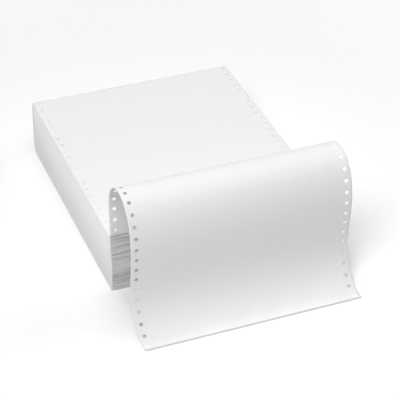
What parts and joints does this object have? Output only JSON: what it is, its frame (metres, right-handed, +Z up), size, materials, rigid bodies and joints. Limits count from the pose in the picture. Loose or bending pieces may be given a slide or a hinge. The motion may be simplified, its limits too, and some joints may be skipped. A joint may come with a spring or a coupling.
{
  "type": "fanfold continuous form paper",
  "caption": "Pack of blank fanfold continuous form paper with sprocket holes down both margins, its top page lifted off, arched over the front folds and laid down in front.",
  "frame": {"origin": "middle of the pack's underside", "axes": "+Z up through the pack, +X along the folds, -Y the side that the loose page falls over"},
  "size_m": [0.24, 0.385, 0.1452],
  "materials": {
    "paper": "uncoated white bond paper"
  },
  "bodies": {
    "root": {"fanfold_paper": "paper"}
  },
  "joints": []
}
